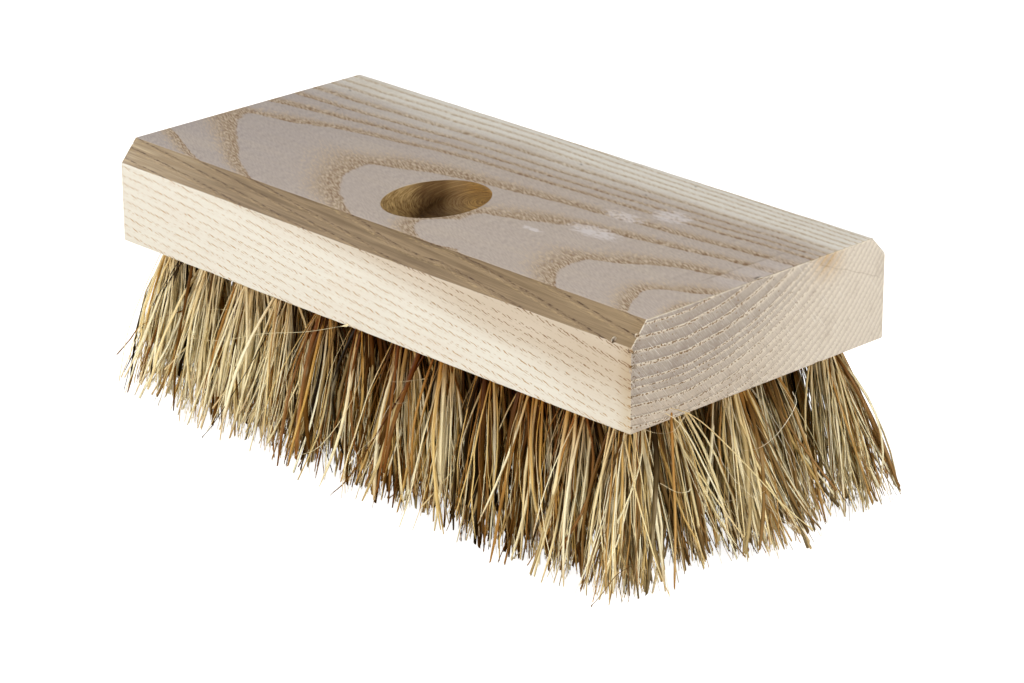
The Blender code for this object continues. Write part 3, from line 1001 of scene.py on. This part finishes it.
def smooth_line(points):
    """A line that passes through the points in one smooth sweep."""
    padded = [points[0] * 2 - points[1], *points, points[-1] * 2 - points[-2]]
    line = []
    for before, start, end, after in zip(padded, padded[1:], padded[2:], padded[3:]):
        for step in range(STRAY_STEPS):
            share = step / STRAY_STEPS
            line.append(0.5 * (2 * start + (end - before) * share
                               + (2 * before - 5 * start + 4 * end - after) * share ** 2
                               + (3 * start - before - 3 * end + after) * share ** 3))
    return line + [points[-1]]


def make_loose_hairs(dice, finish):
    corners, faces, places = [], [], []
    for kind, width, points in LOOSE_HAIRS:
        line = smooth_line([Vector(point) * MM for point in points])
        add_fibre(line, width * MM, pick_strip(kind, dice), dice, corners, faces, places)
    fibre_piece("loose_hairs", corners, faces, places, finish)


def fibre_finish():
    """Union fibre: every strip across the colours is one fibre's colour, root to tip."""
    finish = Finish(bpy.data.materials.new("union_fibre_mix"))
    u, v, _ = finish.split(finish.give("ShaderNodeUVMap", {"uv_map": STRIP_LAYER}, {}))
    x = finish.place()[0] / MM
    strip = (v * STRIPS).whole()
    stops, first = [], 0
    for _, strips, _, _, start, end in KINDS.values():
        stops += [((first + STRIP_MARGIN) / STRIPS, seen(*start)),
                  ((first + strips - STRIP_MARGIN) / STRIPS, seen(*end))]
        first += strips
    colour = finish.ramp((strip + 0.5) / STRIPS, stops)
    grain = finish.noise(u * 7, v * STRIPS * 5.0, strip * 7.3, 2.0, 0.6)
    colour = finish.blend(grain.rise(0.0, 0.6) * 0.36, colour, seen(194, 156, 96), "MULTIPLY")
    pale = finish.noise(u * 4, strip * 3.1, v * STRIPS * 1.7, 2.0, 0.5)
    colour = finish.blend(pale.rise(0.1, 0.6) * 0.35, colour, seen(232, 213, 172), "SCREEN")
    # Painted shade: the fibres are darkened and browned towards their roots under the block, most
    # in the middle of the brush
    root = u.rise(0.66, 0.20)
    middle = x.rise(-60.0, -10.0) * x.rise(95.0, 70.0)
    colour = finish.blend(root * (0.42 + 0.58 * middle), colour, seen(182, 140, 74), "MULTIPLY")
    tip = u.rise(0.82, 0.98) * finish.noise(strip * 0.37, 3.0, 0.5).rise(-0.2, 0.2)
    colour = finish.blend(tip * 0.4, colour, seen(196, 144, 92), "MULTIPLY")
    # Painted light: the lower part of the fibres at the right end is lightened
    painted_end_light = u.rise(0.20, 0.70) * x.rise(70.0, 96.0)
    colour = finish.blend(painted_end_light * 0.17, colour, seen(226, 194, 136), "SCREEN")
    finish.shader.inputs["Specular IOR Level"].default_value = 0.06
    return finish.done(colour, 0.5)


# Stage: how strong the world is as a light, and how bright the floor looks to the camera
AMBIENT = 0.20
FLOOR_GLOW = 0.88
FLOOR_REACH = 6.0
LAMPS = (
    # name, place, size, watts
    ("key_lamp", (0.05, -1.62, 0.42), 0.4, 13.1),
    ("left_lamp", (-1.50, -0.60, 0.35), 0.5, 13.6),
    ("end_lamp", (1.60, -0.35, 0.45), 0.5, 15.2),
    ("top_lamp", (0.28, 0.25, 1.50), 0.6, 6.2),
)
LAMP_AIM = Vector((0, 0, 0.05))
CAMERA_PLACE = Vector((0.72015, -0.68546, 0.42029))
CAMERA_AIM = Vector((0.0090, -0.0005, 0.0348))
CAMERA_ROLL = math.radians(0.19)
CAMERA_LENS = 136.6
CAMERA_SENSOR = 36.0
FARTHEST_SEEN = 50.0


def make_stage():
    """A pale floor that holds the brush's soft shadow."""
    shape = bmesh.new()
    bmesh.ops.create_grid(shape, x_segments=1, y_segments=1, size=FLOOR_REACH)
    floor = object_from_bmesh("floor", shape)
    finish = Finish(bpy.data.materials.new("pale_floor"))
    finish.shader.inputs["Specular IOR Level"].default_value = 0.0
    finish.shader.inputs["Emission Strength"].default_value = 1.0
    seen_directly = finish.give("ShaderNodeLightPath", {}, {}, "Is Camera Ray")
    finish.feed(finish.shader.inputs["Emission Color"], seen_directly * FLOOR_GLOW)
    floor.data.materials.append(finish.done(seen(232, 228, 220), 0.9))


def make_world():
    """White to the camera, dimmer as a light."""
    world = bpy.data.worlds.new("studio")
    bpy.context.scene.world = world
    sky = Finish(world)
    background = sky.tree.nodes["Background"]
    background.inputs["Color"].default_value = (1, 1, 1, 1)
    seen_directly = sky.give("ShaderNodeLightPath", {}, {}, "Is Camera Ray")
    sky.feed(background.inputs["Strength"], seen_directly * (1 - AMBIENT) + AMBIENT)


def make_lamps():
    for name, place, size, watts in LAMPS:
        lamp = bpy.data.lights.new(name, "AREA")
        lamp.shape = "SQUARE"
        lamp.size = size
        lamp.energy = watts
        holder = bpy.data.objects.new(name, lamp)
        holder.location = place
        aim = LAMP_AIM - holder.location
        holder.rotation_euler = aim.to_track_quat("-Z", "Y").to_euler()
        bpy.context.scene.collection.objects.link(holder)


def make_camera():
    camera = bpy.data.cameras.new("camera")
    camera.sensor_width = CAMERA_SENSOR
    camera.lens = CAMERA_LENS
    camera.clip_end = FARTHEST_SEEN
    holder = bpy.data.objects.new("camera", camera)
    holder.location = CAMERA_PLACE
    aim = CAMERA_AIM - CAMERA_PLACE
    roll = Quaternion(aim, CAMERA_ROLL)
    holder.rotation_mode = "QUATERNION"
    holder.rotation_quaternion = roll @ aim.to_track_quat("-Z", "Y")
    bpy.context.scene.collection.objects.link(holder)
    bpy.context.scene.camera = holder


make_camera()
make_world()
make_lamps()
make_stage()
make_block(random.Random(SEED))
fibre = fibre_finish()
make_tufts(random.Random(SEED + 1), fibre)
make_loose_hairs(random.Random(SEED + 2), fibre)

bpy.context.scene.view_settings.view_transform = "Standard"
